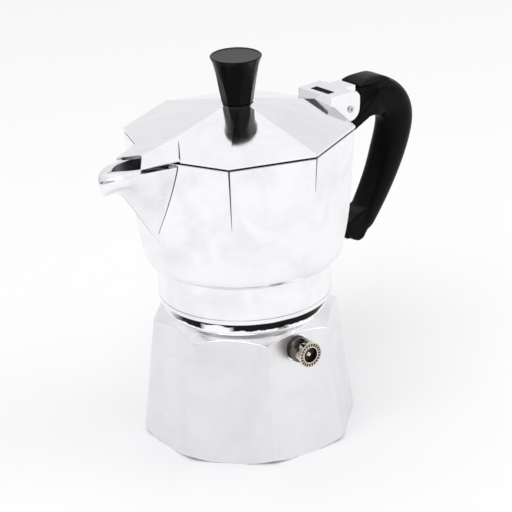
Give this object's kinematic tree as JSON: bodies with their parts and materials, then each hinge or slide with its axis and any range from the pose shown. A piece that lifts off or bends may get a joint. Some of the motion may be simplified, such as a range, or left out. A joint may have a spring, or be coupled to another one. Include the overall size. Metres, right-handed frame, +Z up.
{
  "type": "moka pot",
  "caption": "Stovetop coffee maker: octagonal boiler, screwed-on collector with spout, hinged lid with knob, side handle, filter funnel and sprung safety valve.",
  "frame": {"origin": "middle of the boiler's flat base, on the surface it stands on", "axes": "+Z up along the pot's axis, +X towards the handle, spout at -X, safety valve near -Y"},
  "size_m": [0.1657, 0.0944, 0.162],
  "materials": {
    "polished_aluminium": "bright brushed and polished casting",
    "satin_aluminium": "satin cast and turned",
    "pressed_aluminium": "matt pressed sheet",
    "brass": "dull, darkened by heat",
    "nickel": "bright nickel plate",
    "steel": "bright",
    "black_plastic": "moulded, semi-gloss",
    "silicone": "soft, matt",
    "fibre_washer": "matt"
  },
  "bodies": {
    "boiler": {"boiler": "satin_aluminium", "valve_washer": "fibre_washer", "valve_body": "brass", "valve_lock_nut": "brass", "valve_face_ring": "nickel", "valve_spring": "steel"},
    "valve_pin": {"valve_plunger": "nickel", "valve_seal": "silicone"},
    "funnel": {"funnel_cup": "pressed_aluminium", "funnel_tube": "pressed_aluminium", "funnel_strainer": "pressed_aluminium"},
    "seal_stack": {"gasket": "silicone", "filter_plate": "pressed_aluminium"},
    "collector": {"collector": "polished_aluminium", "chimney": "pressed_aluminium", "handle": "black_plastic", "hinge_pin": "steel"},
    "lid": {"lid": "polished_aluminium", "knob": "black_plastic", "knob_screw": "steel"}
  },
  "joints": [
    {"name": "valve_pull", "type": "slide", "parent": "boiler", "child": "valve_pin", "axis": [-0.0976, -0.9952, 0], "range_m": [0, 0.002], "stiffness_N_per_m": 1200, "springref_m": -0.002, "deforming": ["valve_spring"]},
    {"name": "funnel_lift", "type": "slide", "parent": "boiler", "child": "funnel", "axis": [0, 0, 1], "range_m": [0, 0.0066]},
    {"name": "collector_rise", "type": "slide", "parent": "boiler", "child": "seal_stack", "axis": [0, 0, 1], "range_m": [0, 0.0105]},
    {"name": "collector_unscrew", "type": "hinge", "parent": "seal_stack", "child": "collector", "pos_m": [0, 0, 0.07], "axis": [0, 0, 1], "range_deg": [0, 1260]},
    {"name": "lid_hinge", "type": "hinge", "parent": "collector", "child": "lid", "pos_m": [0.0526, 0, 0.128], "axis": [0, 1, 0], "range_deg": [0, 100]}
  ],
  "couplings": [
    {"joint": "collector_rise", "follows": "collector_unscrew", "m_per_rad": 0.00047746},
    {"joint": "funnel_lift", "follows": "collector_unscrew", "m_per_rad": 0.0003}
  ]
}
